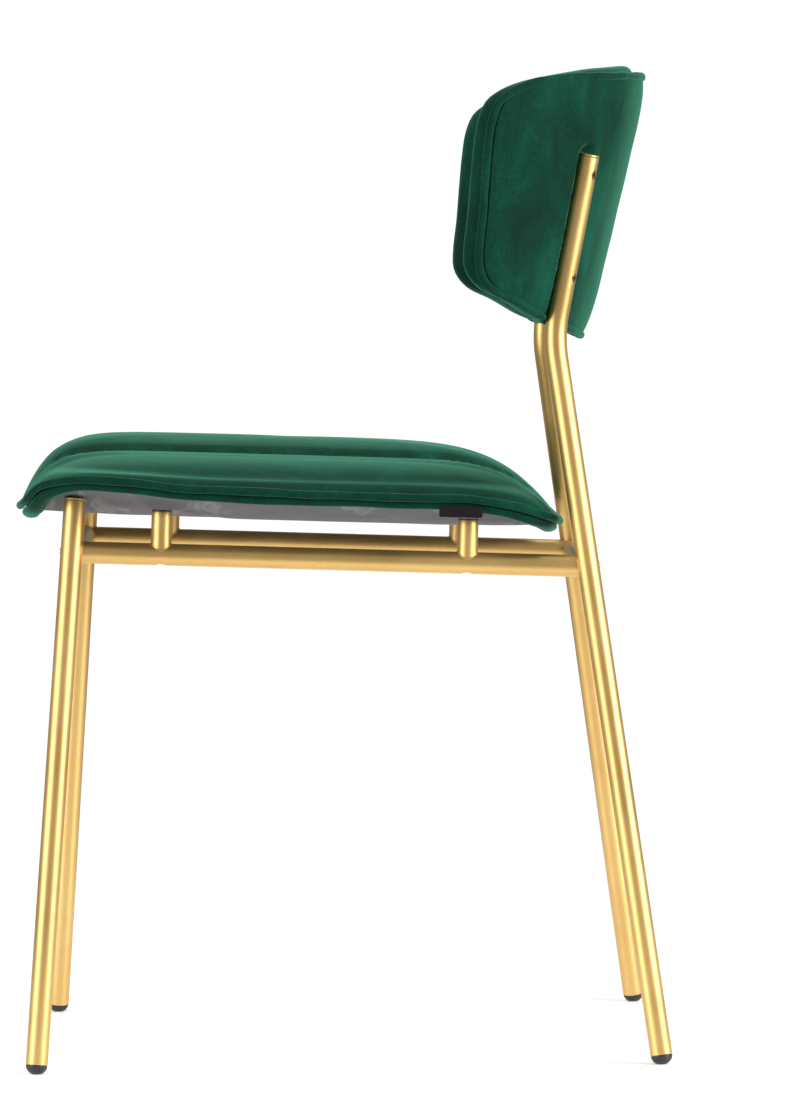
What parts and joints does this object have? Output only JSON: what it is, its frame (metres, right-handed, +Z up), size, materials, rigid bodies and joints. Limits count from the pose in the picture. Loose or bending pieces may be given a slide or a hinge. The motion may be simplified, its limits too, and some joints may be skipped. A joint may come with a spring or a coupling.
{
  "type": "dining chair",
  "caption": "Upholstered dining chair with a padded seat and a curved padded back on a splayed round-tube metal frame.",
  "frame": {"origin": "on the floor, under the middle of the chair's bounding box", "axes": "+Z up, the sitter faces -Y, +X is the sitter's left"},
  "size_m": [0.4884, 0.5304, 0.8108],
  "materials": {
    "frame_metal": "satin brass-coloured coating",
    "foot_plastic": "moulded, slightly glossy black",
    "velvet": "short-pile velvet, dark green with a pale sheen",
    "fastener_steel": "plated",
    "washer_rubber": "matte black",
    "plywood": "raw moulded plywood",
    "foam": "upholstery foam",
    "dust_cover": "grey non-woven cloth",
    "label_tape": "blank black woven tape"
  },
  "bodies": {
    "root": {"front_leg_left": "frame_metal", "front_leg_right": "frame_metal", "rear_leg_left": "frame_metal", "rear_leg_right": "frame_metal", "side_rail_left": "frame_metal", "side_rail_right": "frame_metal", "front_rail": "frame_metal", "rear_rail": "frame_metal", "seat_post_front_left": "frame_metal", "seat_post_front_right": "frame_metal", "seat_post_rear_left": "frame_metal", "seat_post_rear_right": "frame_metal", "front_leg_cap_left": "frame_metal", "front_leg_cap_right": "frame_metal", "rear_leg_cap_left": "frame_metal", "rear_leg_cap_right": "frame_metal", "foot_front_left": "foot_plastic", "foot_front_right": "foot_plastic", "foot_rear_left": "foot_plastic", "foot_rear_right": "foot_plastic", "seat_cover": "velvet", "seat_piping": "velvet", "seat_hem": "velvet", "back_cover_front": "velvet", "back_cover_rear": "velvet", "back_piping": "velvet", "seat_screw_front_left": "fastener_steel", "seat_screw_front_right": "fastener_steel", "seat_screw_rear_left": "fastener_steel", "seat_screw_rear_right": "fastener_steel", "seat_nut_front_left": "fastener_steel", "seat_nut_front_right": "fastener_steel", "seat_nut_rear_left": "fastener_steel", "seat_nut_rear_right": "fastener_steel", "back_screw_upper_left": "fastener_steel", "back_screw_upper_right": "fastener_steel", "back_screw_lower_left": "fastener_steel", "back_screw_lower_right": "fastener_steel", "back_nut_upper_left": "fastener_steel", "back_nut_upper_right": "fastener_steel", "back_nut_lower_left": "fastener_steel", "back_nut_lower_right": "fastener_steel", "seat_washer_front_left": "washer_rubber", "seat_washer_front_right": "washer_rubber", "seat_washer_rear_left": "washer_rubber", "seat_washer_rear_right": "washer_rubber", "seat_shell": "plywood", "back_shell": "plywood", "seat_foam": "foam", "back_foam": "foam", "seat_dust_cover": "dust_cover", "seat_label": "label_tape"}
  },
  "joints": []
}
